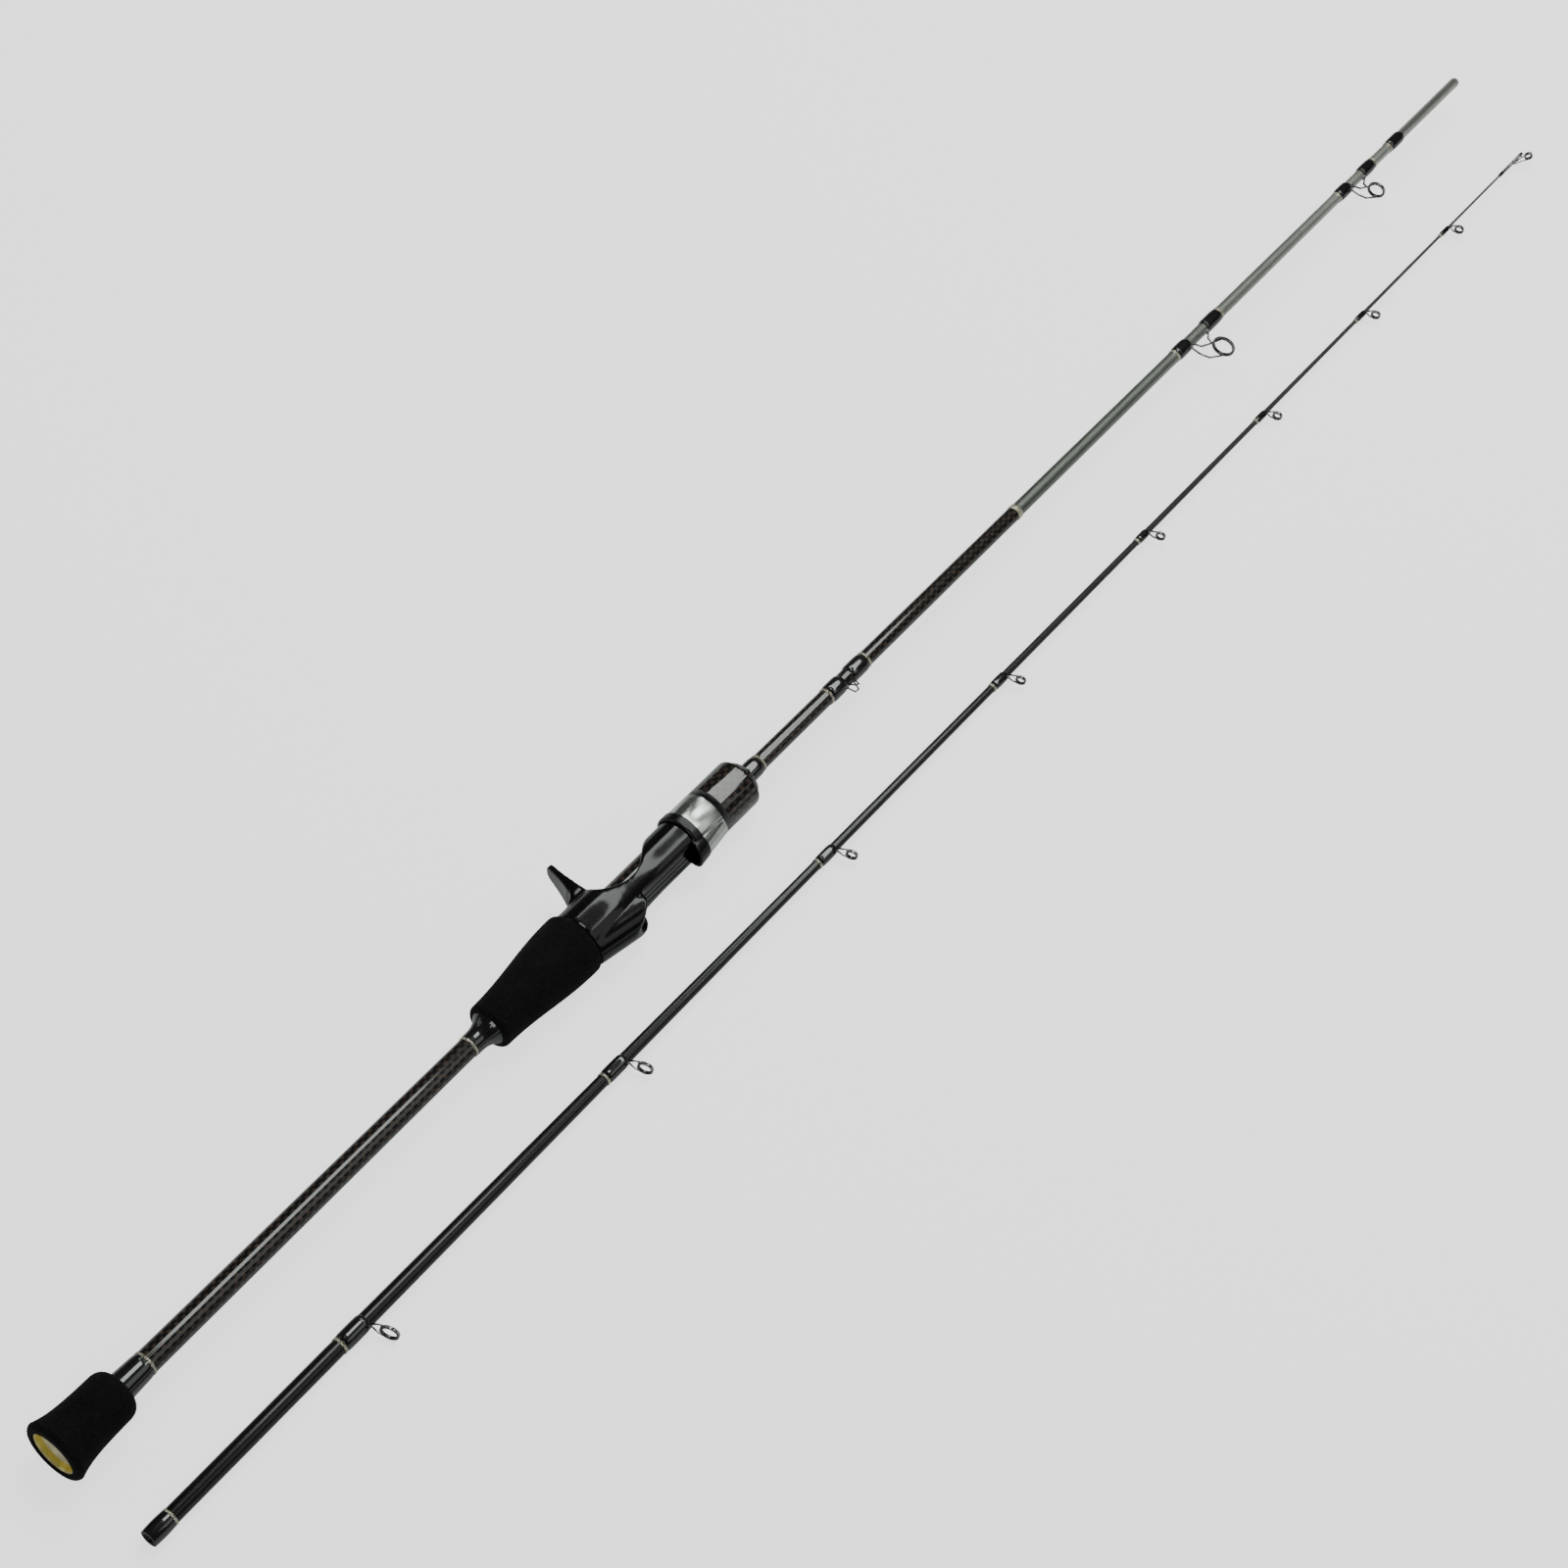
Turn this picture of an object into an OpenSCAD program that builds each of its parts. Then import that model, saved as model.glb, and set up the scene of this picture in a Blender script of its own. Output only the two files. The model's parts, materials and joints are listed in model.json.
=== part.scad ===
// Two-piece baitcasting rod, taken apart, its sections lying side by side.
// +X runs from the butt towards the tip and +Z is up. The line guides face -Y and the
// trigger faces +Y. The origin is under the middle of the whole, on the resting plane.
// Inside a section, x is the distance from its butt end along its own axis.

/* [Sections] */
// Length of the butt section, cap to spigot end
butt_len = 1000; // [835:5:1200]
// Length of the tip section, ferrule mouth to the end of the tip-top tube
tip_len = 985; // [820:5:1200]
// Distance between the two section axes as they lie
lay_gap = 49.5; // [42:0.5:80]

/* [Butt blank] */
// Diameter at the butt end
blank_d_butt = 11.1; // [9:0.1:13]
// Diameter where the blank leaves the reel seat
blank_d_seat = 7.7; // [6.5:0.1:10]
// Diameter at the ferrule stop
blank_d_fore = 5; // [4.9:0.1:6.4]
// Wall of the tube
blank_wall = 1.1; // [0.7:0.1:1.4]
// Thickness of the woven outer sleeve
weave_t = 0.15; // [0.1:0.05:0.3]
// Share of the run from hook keeper to first guide that the weave covers
weave_share = 0.46; // [0.2:0.02:0.8]

/* [Ferrule] */
// Diameter of the spigot
spigot_d = 4.8; // [4:0.1:4.8]
// Length of the spigot
spigot_len = 52; // [40:1:70]
// Radial clearance between spigot and socket
ferrule_gap = 0.03; // [0.01:0.01:0.09]
// How much deeper the socket is than the spigot is long
socket_spare = 4; // [2:1:10]

/* [Tip blank] */
// Diameter at the ferrule mouth
tip_d_base = 7.6; // [7.2:0.1:9]
// Diameter where the taper starts
tip_d_shoulder = 7.4; // [7:0.1:8.8]
// Diameter at the end of the fast taper
tip_d_mid = 4.9; // [4:0.1:6]
// Diameter inside the tip-top
tip_d_end = 0.9; // [0.8:0.1:1.4]
// Where the taper starts
shoulder_x = 100; // [80:5:110]
// Where the fast taper ends
fast_end_x = 352; // [300:2:420]

/* [Butt grip] */
// Length of the flared grip
butt_grip_len = 37.8; // [30:0.1:60]
// Diameter of the grip in front of its flare
butt_grip_d = 23.2; // [20:0.1:30]
// Diameter of the flare
flare_d = 29.6; // [26:0.1:36]
// Diameter of the dished end cap
cap_d = 21.3; // [18:0.1:23]
// Depth of the dish
cap_dish = 3.4; // [1:0.1:4.5]

/* [Rear grip] */
// Length of the tapered grip behind the reel seat
rear_grip_len = 57; // [40:0.5:90]
// Diameter of its butt end
rear_grip_d0 = 21.9; // [19:0.1:26]
// Diameter of its thick end
rear_grip_d1 = 30; // [28:0.1:36]

/* [Reel seat] */
// Distance from the butt end to the seat
seat_x = 313.2; // [260:0.1:380]
// Length of the seat body
seat_len = 110.4; // [108:0.1:135]
// Outer diameter of the woven core tube
core_d = 16; // [14.5:0.1:16.4]
// Wall of the core tube
core_wall = 1; // [0.6:0.1:1.3]
// Diameter of the rear barrel
barrel_d = 26.4; // [24:0.1:27.4]
// Diameter of the body under the moving hood
neck_d = 21.6; // [21.2:0.1:22.4]
// Distance of the reel deck from the rod axis
deck_a = 8.7; // [8.5:0.1:9.4]
// Distance of the trigger tip from the rod axis
trigger_reach = 34.7; // [30:0.1:38]
// Width of the trigger at its root
trigger_w = 16; // [12:0.5:18]

/* [Hood and lock nut] */
// Outer diameter of the lock nut
nut_d = 23.6; // [23.4:0.1:26]
// Length of the lock nut
nut_len = 24; // [20:0.5:26]
// Length of the polished band
band_len = 13.5; // [13:0.1:16]
// Length of the hood lip behind the band
lip_len = 4.8; // [4:0.1:8]
// Crest diameter of the seat thread
thread_d = 20.4; // [19.6:0.1:20.8]
// Pitch of the seat thread
thread_pitch = 2; // [1.5:0.5:3]
// Radial clearance of everything that slides or turns on the seat
slide_gap = 0.1; // [0.05:0.01:0.1]

/* [Butt section guides] */
// Distance of the first guide ring from the spigot end
guide_1_back = 227.2; // [215:0.1:240]
// Distance of the second guide ring from the spigot end
guide_2_back = 92; // [88:0.1:110]
// Outer diameter of the first guide ring
guide_1_d = 11.4; // [9.5:0.1:13.7]
// Outer diameter of the second guide ring
guide_2_d = 9; // [7.5:0.1:10.8]
// Height of the first ring centre above the blank
guide_1_rise = 11.6; // [10:0.1:14]
// Height of the second ring centre above the blank
guide_2_rise = 9.7; // [8:0.1:11.6]
// Forward lean of the double-foot rings
double_lean = 13; // [5:1:20]

/* [Tip section guides] */
// Distance of the first tip guide ring from the ferrule mouth
guide_3_x = 125.6; // [122:0.1:150]
// Ratio of each gap between tip guides to the one before it
gap_ratio = 0.88; // [0.82:0.01:0.95]
// Outer diameter of the first tip guide ring
guide_3_d = 8.7; // [7.2:0.1:9.4]
// Outer diameter of the second tip guide ring
guide_4_d = 7.3; // [6:0.1:8.8]
// Outer diameter of the third tip guide ring
guide_5_d = 5.6; // [5:0.1:6.8]
// Outer diameter of the running guide rings
running_d = 4.8; // [4.4:0.1:5.8]
// Height of the first tip guide ring centre above the blank
guide_3_rise = 7.8; // [7:0.1:9]
// Height of the last running ring centre above the blank
guide_10_rise = 4.3; // [4:0.1:5]
// Forward lean of the single-foot rings
single_lean = 18; // [8:1:24]
// Length of the longest tip guide winding
wrap_first = 15; // [12:0.5:18]
// Length of the shortest tip guide winding
wrap_running = 8.6; // [7:0.1:10]

/* [Hidden] */

// Roundness of turned pieces, of wires and of guide rings
turned_fn = 96;
wire_fn = 24;
ring_fn = 64;

// Colours of the finishes
epoxy_black = "#0b0b0d";
trim_gold = "#c9b77a";
frame_grey = "#55575a";
ring_dark = "#2a2b2f";
blank_black = "#141615";
weave_dark = "#23261f";

// Blank and sleeve
blank_x0 = 6;
plug_len = 12;
stop_x = butt_len - spigot_len;
seat_end = seat_x + seat_len;

// Windings: thread thickness, its feathered edge, trim band width, foot plate
thread_t = 0.5;
edge_t = 0.12;
trim_w = 1.4;
trim_t = 0.3;
foot_t = 0.3;
butt_winding_len = 13.4;
check_len = 11;
fore_winding_len = 10.2;
keeper_x = seat_end + 60.9;
keeper_wrap = 11;
keeper_gap = 5;
keeper_end = keeper_x + 2 * keeper_wrap + keeper_gap + trim_w;
stop_wrap = 12;
ferrule_wrap = 12.6;

// Moving hood and nut: rest places, with the nut run out to the front
nut_end = seat_end + 0.4;
nut_x = nut_end - nut_len;
band_x = nut_x - slide_gap - band_len;
lip_x = band_x - lip_len;
thread_x = band_x - 0.4;
neck_r = neck_d / 2;
hood_bore_r = neck_r + slide_gap;
band_t = 0.5;

// Fixed hood: half-round shell whose axis rises towards its mouth
hood_r = 8.3;
hood_wall = 1.4;
hood_tilt = 10.5;
hood_a = 6.6;
mouth_top_x = seat_x + 17.2;
mouth_deck_x = seat_x + 33.3;
pocket_x = seat_x + 5;

// Moving hood's bump over the reel foot, highest at its lip
bump_r = 7.6;
bump_tilt = -7;
bump_a = 7.4;
bump_x = lip_x - 3;
bump_wall = 1.2;
bump_pocket_len = 15;

// Guides
guide_1_x = butt_len - guide_1_back;
guide_2_x = butt_len - guide_2_back;
weave_end = keeper_end + weave_share * (guide_1_x - 18 - keeper_end);
frame_t = 0.4;
frame_w = 1.3;
wire_big = 0.5;
wire_small = 0.4;
tip_gaps = 8;
tip_first_gap = (tip_len - guide_3_x) * (1 - gap_ratio) / (1 - pow(gap_ratio, tip_gaps));
tip_ring_d = [guide_3_d, guide_4_d, guide_5_d, running_d + 0.2, running_d,
    running_d, running_d, running_d];

// Tip-top
tube_len = 18;
tube_wall = 0.35;
top_ring_d = 4.4;
top_ring_a = 3.6;
top_lean = 48;
top_winding_len = 3.4;

// Where the sections lie: both on the resting plane, the whole centred on the origin
butt_z = max(rear_grip_d1, flare_d) / 2;
tip_z = max(tip_skin(0) + thread_t, guide_3_d / 2 + 0.12 + wire_small + 0.05);
far_x = max(butt_len, tip_len + 2.2);
low_y = -lay_gap - ring_reach(0);
mid_y = (trigger_reach + low_y) / 2;

// Outer radius of the bare butt blank, of its woven sleeve or bare skin, and of the tip blank
function butt_r(x) =
    lookup(x, [[0, blank_d_butt / 2], [seat_end, blank_d_seat / 2], [stop_x, blank_d_fore / 2]]);
function butt_skin(x) = butt_r(x) + (x < weave_end ? weave_t : 0);
function tip_skin(x) = lookup(x, [[0, tip_d_base / 2], [shoulder_x, tip_d_shoulder / 2],
    [fast_end_x, tip_d_mid / 2], [tip_len, tip_d_end / 2]]);

// Ease from 0 to 1, and a list of equal steps from 0 to 1
function ease(u) = (1 - cos(180 * u)) / 2;
function steps(n) = [for (i = [0 : n]) i / n];

// Places and sizes of the tip guides, i counted from the ferrule
function tip_guide_x(i) = guide_3_x + tip_first_gap * (1 - pow(gap_ratio, i)) / (1 - gap_ratio);
function tip_rise(i) = guide_3_rise + (guide_10_rise - guide_3_rise) * sin(90 * i / 7);
function tip_ring_h(i) = tip_skin(tip_guide_x(i)) + tip_rise(i);
function tip_lead(i) = 0.8 + 0.2 * tip_rise(i);
function tip_wrap(i) = max(wrap_running, wrap_first - 1.6 * i);
function tip_wrap_end(i) = tip_guide_x(i) - tip_lead(i);
function ring_reach(i) = tip_ring_h(i) + tip_ring_d[i] / 2 * cos(single_lean)
    + frame_w / 2 * sin(single_lean);
function ceramic_t(d) = 0.35 + 0.05 * d;

module on_butt() {
    translate([-far_x / 2, -mid_y, butt_z]) children();
}

module on_tip() {
    translate([-far_x / 2, -mid_y - lay_gap, tip_z]) children();
}

// Turns a profile of [radius, x] points about the rod axis
module lathe(points) {
    rotate([0, 90, 0]) rotate_extrude($fn = turned_fn) polygon(points);
}

// Round wire through a list of points, each length a touch thinner than the one before
module wire(points, r) {
    for (i = [0 : len(points) - 2]) {
        step = points[i + 1] - points[i];
        translate(points[i])
            rotate([0, acos(step[2] / norm(step)), atan2(step[1], step[0])])
                translate([0, 0, -r * 0.45]) cylinder(r = r * (1 - 0.04 * i), h = norm(step) + 0.9 * r, $fn = wire_fn);
    }
}

// Epoxied thread over a run whose own radius goes from r0 to r1
module winding(x0, x1, r0, r1, t = thread_t) {
    lathe(concat([[r0, x0]],
        [for (u = steps(10)) [r0 + (r1 - r0) * u + edge_t
            + (t - edge_t) * sqrt(1 - pow(abs(2 * u - 1), 4)), x0 + (x1 - x0) * u]],
        [[r1, x1]]));
}

// Metallic trim thread
module trim_band(x, r0, r1) {
    lathe([[r0, x], [r0 + trim_t, x + 0.15], [r1 + trim_t, x + trim_w - 0.15], [r1, x + trim_w]]);
}

// Saddle plate that a guide stands on, bound down by its winding; under deepens it for cutting
module foot(x0, x1, r0, r1, w, under = 0) {
    intersection() {
        lathe([[r0 - under, x0], [r0 + foot_t * 0.4, x0], [r1 + foot_t, x1], [r1 - under, x1]]);
        translate([x0 - 1, -r0 - 5, -w / 2]) cube([x1 - x0 + 2, r0 + 5, w]);
    }
}

// Carries a ring drawn about local z to its place over the blank
module at_ring(x, h, lean) {
    translate([x, -h, 0]) rotate([0, 0, lean]) rotate([0, 90, 0]) children();
}

// Metal band that holds the ceramic ring
module ring_band(d) {
    rotate_extrude($fn = ring_fn)
        translate([d / 2 - frame_t, -frame_w / 2]) square([frame_t, frame_w]);
}

// Point on a leaning ring: s across, t towards the blank, w along the ring's own axis
function on_ring(x, h, lean, s, t, w) =
    [x - t * sin(lean) + w * cos(lean), -h + t * cos(lean) + w * sin(lean), s];

// Ceramic ring with a straight land and eased edges
module ceramic(d) {
    outer = d / 2 - frame_t;
    bore = outer - ceramic_t(d);
    w = frame_w / 2 + 0.15;
    rotate_extrude($fn = ring_fn)
        polygon([[outer, -w], [outer, w], [bore + 0.35, w], [bore + 0.1, w - 0.18],
            [bore, w - 0.4], [bore, 0.4 - w], [bore + 0.1, 0.18 - w], [bore + 0.35, -w]]);
}

// Double-foot frame: two long legs from the rear foot to the ring's sides, one short fore leg
module double_frame(x, d, rise, feet) {
    h = butt_skin(x) + rise;
    leg = butt_skin(x) + wire_big + 0.04;
    rear = feet[0];
    xr = x - rear;
    rim = d / 2 + 0.2;
    at_ring(x, h, double_lean) ring_band(d);
    for (s = [-1, 1])
        wire([[xr, -leg * cos(28), s * leg * sin(28)],
            [xr + 0.1, -leg - 0.36 * rise, s * (leg * sin(28) + 0.17 * d / 2)],
            [xr + 0.3 * rear, -leg - 0.66 * rise, s * 0.8 * rim],
            on_ring(x, h, double_lean, s * rim, 0, -0.2)], wire_big);
    wire([[x + feet[1], -leg, 0], [x - 0.2, -leg - 0.2 * rise, 0],
        on_ring(x, h, double_lean, 0, rim, -0.1)], wire_big);
    double_feet(x, feet);
}

// The two foot plates of a double-foot frame
module double_feet(x, feet, under = 0) {
    xr = x - feet[0];
    xf = x + feet[1];
    r0 = xr - feet[2] + 2.2;
    f1 = xf + feet[3] - 1.2;
    foot(r0, xr + 0.8, butt_skin(r0), butt_skin(xr + 0.8), 3.8, under);
    mirror([1, 0, 0]) foot(-f1, -xf + 0.6, butt_skin(f1), butt_skin(xf - 0.6), 2.4, under);
}

// Half the width of a tip guide's foot
function foot_half(i) = min(1.1, 0.75 * tip_skin(tip_wrap_end(i)));

module tip_foot(i, under = 0) {
    x0 = tip_wrap_end(i) - tip_wrap(i) + trim_w + 1.2;
    x1 = tip_wrap_end(i) + 2 * wire_small;
    foot(x0, x1, tip_skin(x0), tip_skin(x1), 2 * foot_half(i), under);
}

// Single-foot frame: two legs rise from the foot and clasp the ring's sides
module single_frame(i) {
    x = tip_guide_x(i);
    d = tip_ring_d[i];
    h = tip_ring_h(i);
    xe = tip_wrap_end(i) + wire_small + 0.08;
    leg = tip_skin(xe) + wire_small + 0.04;
    spread = asin(foot_half(i) / leg);
    rim = d / 2 + 0.12;
    at_ring(x, h, single_lean) ring_band(d);
    for (s = [-1, 1])
        wire([[xe, -leg * cos(spread), s * leg * sin(spread)],
            [xe + 0.2 * (x - xe), -leg - 0.3 * tip_rise(i), s * 0.72 * rim],
            on_ring(x, h, single_lean, s * rim, 0.3, -0.2)], wire_small);
    tip_foot(i);
}

module butt_end_cap() {
    plug_r = butt_r(blank_x0 + plug_len) - blank_wall - 0.03;
    rim = cap_d / 2;
    wall_r = rim - 0.7;
    floor_r = rim - 1.5;
    floor_x = 0.8 + cap_dish;
    color("#c9a227") on_butt() lathe(concat(
        [[0, floor_x]],
        [for (k = [1 : 5]) for (p = [[0, 0], [0.35, -0.25], [0.9, -0.25], [1.2, 0]])
            [floor_r * (k - 0.85) / 5.6 + p[0], floor_x + p[1]]],
        [[floor_r, floor_x], [wall_r, 1.1], [wall_r + 0.15, 0.8], [rim - 0.1, 0.8], [rim, 1],
            [rim, blank_x0], [plug_r, blank_x0], [plug_r, blank_x0 + plug_len - 0.6],
            [plug_r - 0.6, blank_x0 + plug_len], [0, blank_x0 + plug_len]]));
}

// Flared foam grip: rounded rear edge, hollowed flank, domed nose
module butt_grip() {
    edge = 2.6;
    nose = 5.4;
    r1 = butt_grip_d / 2;
    r0 = flare_d / 2;
    nose_r = butt_skin(butt_grip_len) + thread_t + 0.9;
    fade = 8.5;
    color("#1d1e1f") on_butt() lathe(concat(
        [[butt_skin(blank_x0), blank_x0], [cap_d / 2, blank_x0], [cap_d / 2, 0.35],
            [cap_d / 2 + 0.35, 0]],
        [for (u = steps(6)) [r0 - edge + edge * sin(90 * u), edge - edge * cos(90 * u)]],
        [for (u = steps(12)) if (u > 0) let (x = edge + (butt_grip_len - nose - edge) * u)
            [r1 + (r0 - r1) * exp((edge - x) / fade), x]],
        [for (u = steps(8)) if (u > 0) [nose_r + (r1 - nose_r) * cos(90 * u),
            butt_grip_len - nose + nose * sin(90 * u)]],
        [[butt_skin(butt_grip_len), butt_grip_len]]));
}

module butt_winding() {
    x0 = butt_grip_len;
    x1 = x0 + butt_winding_len;
    s0 = butt_skin(x0);
    s1 = butt_skin(x1);
    color(epoxy_black) on_butt() lathe(concat([[s0, x0]],
        [for (u = steps(8)) [s0 + (s1 - s0) * u + 0.95 - 0.45 * sin(90 * u)
            - 0.35 * pow(u, 8), x0 + (x1 - x0) * u]],
        [[s1, x1]]));
}

// Hollow tapered tube, its fore end ground down to the spigot
module butt_blank() {
    end = butt_len - spigot_d / 2;
    bore = spigot_d / 2 - blank_wall;
    color(blank_black) on_butt() lathe([
        [butt_r(blank_x0) - blank_wall, blank_x0], [butt_r(blank_x0), blank_x0],
        [butt_r(seat_end), seat_end], [butt_r(stop_x), stop_x],
        [spigot_d / 2, stop_x], [spigot_d / 2, end], [bore, end],
        [bore, stop_x], [butt_r(stop_x) - blank_wall, stop_x - 4],
        [butt_r(seat_end) - blank_wall, seat_end]]);
}

module carbon_weave_sleeve() {
    color(weave_dark) on_butt() lathe([
        [butt_r(blank_x0), blank_x0], [butt_skin(blank_x0), blank_x0],
        [butt_r(seat_end) + weave_t, seat_end], [butt_r(weave_end) + weave_t, weave_end],
        [butt_r(weave_end), weave_end], [butt_r(seat_end), seat_end]]);
}

// Rear face of the rear grip, where its check ends
function check_face() = seat_x - rear_grip_len;

// Trumpet-shaped check: a plain sleeve that flares against the grip
module rear_grip_check() {
    x1 = check_face();
    x0 = x1 - check_len;
    s0 = butt_skin(x0);
    s1 = butt_skin(x1);
    color(epoxy_black) on_butt() lathe(concat([[s0, x0]],
        [for (u = steps(12)) [s0 + (s1 - s0) * u + 0.4 + 3.2 * pow(u, 3.4), x0 + check_len * u]],
        [[s1, x1]]));
}

// Foam grip: rounded rear edge round the check, swelling to the seat
module rear_grip() {
    x0 = check_face();
    edge = 2.2;
    r0 = rear_grip_d0 / 2;
    r1 = rear_grip_d1 / 2;
    face = barrel_d / 2 + 0.2;
    color("#1b1c1c") on_butt() lathe(concat(
        [[butt_skin(x0), x0], [r0 - edge, x0]],
        [for (u = steps(5)) if (u > 0) [r0 - edge + edge * sin(90 * u), x0 + edge * (1 - cos(90 * u))]],
        [for (u = steps(14)) if (u > 0) [r0 + (r1 - r0) * ease(u) + 0.15 * sin(180 * u) * u,
            x0 + edge + (rear_grip_len - 2 * edge) * u]],
        [for (u = steps(5)) if (u > 0) [face + (r1 - face) * cos(90 * u),
            seat_x - edge + edge * sin(90 * u)]],
        [[butt_skin(seat_x), seat_x]]));
}

// Three shim rings that centre the core tube on the blank
module seat_arbors() {
    len = 16;
    inner = core_d / 2 - core_wall;
    color("#a8823c") on_butt()
        for (x = [seat_x + 2, seat_x + seat_len / 2 - len / 2, seat_end - 2 - len])
            lathe([[butt_skin(x), x], [inner, x], [inner, x + len], [butt_skin(x + len), x + len]]);
}

module seat_core_tube() {
    outer = core_d / 2;
    color(weave_dark) on_butt() lathe([[outer - core_wall, seat_x], [outer, seat_x],
        [outer, seat_end], [outer - core_wall, seat_end]]);
}

// Turned outside of the seat body: barrel, waist, neck, threaded end
module seat_turned() {
    core = core_d / 2;
    barrel = barrel_d / 2;
    crest = thread_d / 2;
    root = crest - 0.6;
    turns = floor((seat_end - thread_x - 1) / thread_pitch);
    lathe(concat(
        [[core, seat_x], [barrel, seat_x]],
        [for (u = steps(10)) [barrel + (neck_r - barrel) * ease(u), seat_x + 13 + 38 * u]],
        [[neck_r, thread_x], [crest, thread_x]],
        [for (k = [0 : turns - 1]) for (p = [[0.5, 0], [0.8, 1], [1.35, 1], [1.65, 0]])
            [p[1] == 0 ? crest : root, thread_x + (k + p[0] / 2) * thread_pitch]],
        [[crest, seat_end - 0.5], [crest - 0.5, seat_end], [core, seat_end]]));
}

// Half-round shell over the reel foot, on the guide side
module fixed_hood(r, x) {
    translate([seat_x, -hood_a, 0]) rotate([0, 0, -hood_tilt]) rotate([0, 90, 0])
        translate([0, 0, x]) cylinder(r = r, h = 60, $fn = turned_fn);
}

// Finger hook: a blade that leans forward, wide in front view and rounded at its tip
module trigger() {
    tip_r = 1.35;
    tip_w = 4.4;
    tip_y = trigger_reach - tip_r;
    root = seat_x + 9;
    intersection() {
        translate([0, 0, -trigger_w]) linear_extrude(2 * trigger_w)
            polygon(concat([[root + 2, 8.5], [root, 12.2], [root + 3.2, 13.4], [root + 5.6, 15.5]],
                [for (u = steps(5)) [root + 6.4 + 5.6 * u, 18 + (tip_y - 18) * u - 1.2 * sin(180 * u)]],
                [for (u = steps(6)) if (u > 0) [root + 13.35 - tip_r * cos(180 * u), tip_y + tip_r * sin(180 * u)]],
                [for (u = steps(4)) if (u > 0) [root + 14.7 - 3.3 * sin(90 * u), tip_y + (12 - tip_y) * u]],
                [[root + 11.3, 6]]));
        translate([seat_x, 0, 0]) rotate([90, 0, 90]) linear_extrude(40)
            polygon(concat([[6, -trigger_w / 2], [14, -trigger_w / 2 + 0.3]],
                [for (u = steps(10)) [trigger_reach - tip_w + tip_w * sin(180 * u), -tip_w * cos(180 * u)]],
                [[14, trigger_w / 2 - 0.3], [6, trigger_w / 2]]));
    }
}

// Region cut away on the trigger side, which bares the core tube
module window() {
    x0 = seat_x + 20.3;
    dip_x = seat_x + 35.8;
    x1 = seat_x + 62.8;
    dip_y = -1.6;
    translate([0, 0, -20]) linear_extrude(40)
        polygon(concat([[x0, 20]],
            [for (u = steps(8)) [dip_x - (dip_x - x0) * cos(90 * u), 8 + (dip_y - 8) * sin(90 * u)]],
            [for (u = steps(10)) if (u > 0) [dip_x + (x1 - dip_x) * u, dip_y + 12.6 * ease(u)]],
            [[x1, 20]]));
}

module reel_seat() {
    grooves = [-3.2, 0, 3.2];
    inner_r = hood_r - hood_wall;
    color("#0d0d0f") on_butt() difference() {
        union() {
            difference() {
                union() {
                    seat_turned();
                    intersection() {
                        fixed_hood(hood_r, -5);
                        translate([seat_x, -30, -20]) cube([60, 60, 40]);
                    }
                }
                // everything beyond the raked mouth and the deck
                translate([0, 0, -20]) linear_extrude(40)
                    polygon(concat([for (u = steps(8)) [mouth_deck_x
                            + (mouth_top_x - mouth_deck_x) * (1 - cos(90 * u)),
                            -deck_a - (hood_a + hood_r + 3.6 - deck_a) * sin(90 * u)]],
                        [[mouth_top_x, -40], [seat_end + 5, -40], [seat_end + 5, -deck_a]]));
                // pocket for the rear of the reel foot
                intersection() {
                    fixed_hood(inner_r, -5);
                    translate([pocket_x, -deck_a - 20, -20]) cube([60, 20, 40]);
                }
                window();
            }
            trigger();
        }
        translate([seat_x - 1, 0, 0]) rotate([0, 90, 0])
            cylinder(d = core_d, h = seat_len + 2, $fn = turned_fn);
        for (z = grooves)
            translate([pocket_x + 2, -deck_a - 0.1, z - 0.35])
                cube([seat_len - 30, 0.35, 0.7]);
    }
}

// Bump of the moving hood, as a leaning cylinder of radius r
module bump(r, x0, x1) {
    intersection() {
        translate([bump_x, -bump_a, 0]) rotate([0, 0, -bump_tilt]) rotate([0, 90, 0])
            translate([0, 0, -10]) cylinder(r = r, h = 60, $fn = turned_fn);
        translate([x0, -30, -20]) cube([x1 - x0, 60, 40]);
    }
}

// Black moulding: lip ring, liner under the band, and the pocket over the reel foot
module hood_moulding() {
    liner_r = hood_bore_r + band_t;
    lip_r = liner_r + band_t + 0.5;
    color("#101013") on_butt() difference() {
        union() {
            lathe([[hood_bore_r, lip_x], [lip_r - 0.6, lip_x], [lip_r, lip_x + 0.6], [lip_r, band_x],
                [liner_r, band_x], [liner_r, nut_x - slide_gap], [hood_bore_r, nut_x - slide_gap]]);
            difference() {
                union() {
                    bump(bump_r + 0.3, bump_x, band_x);
                    bump(bump_r - band_t, band_x - 1, nut_x - slide_gap);
                }
                // the barrel of the seat runs through, and the deck's flat keys the hood
                intersection() {
                    translate([bump_x - 1, 0, 0]) rotate([0, 90, 0])
                        cylinder(r = hood_bore_r, h = 60, $fn = turned_fn);
                    translate([bump_x - 1, -deck_a - slide_gap, -20]) cube([60, 60, 40]);
                }
                translate([bump_x - 1, -hood_bore_r + 4, -20]) cube([lip_x - bump_x + 1, 60, 40]);
            }
        }
        // raked mouth
        translate([0, 0, -20]) linear_extrude(40)
            polygon([[bump_x - 1, -deck_a + 6], [lip_x, -deck_a + 6], [bump_x, -deck_a - 9], [bump_x - 1, -40]]);
        // pocket for the front of the reel foot
        intersection() {
            bump(bump_r - bump_wall, bump_x - 1, bump_x + bump_pocket_len);
            translate([bump_x - 2, -deck_a - 20, -20]) cube([60, 20 - slide_gap, 40]);
        }
    }
}

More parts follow.
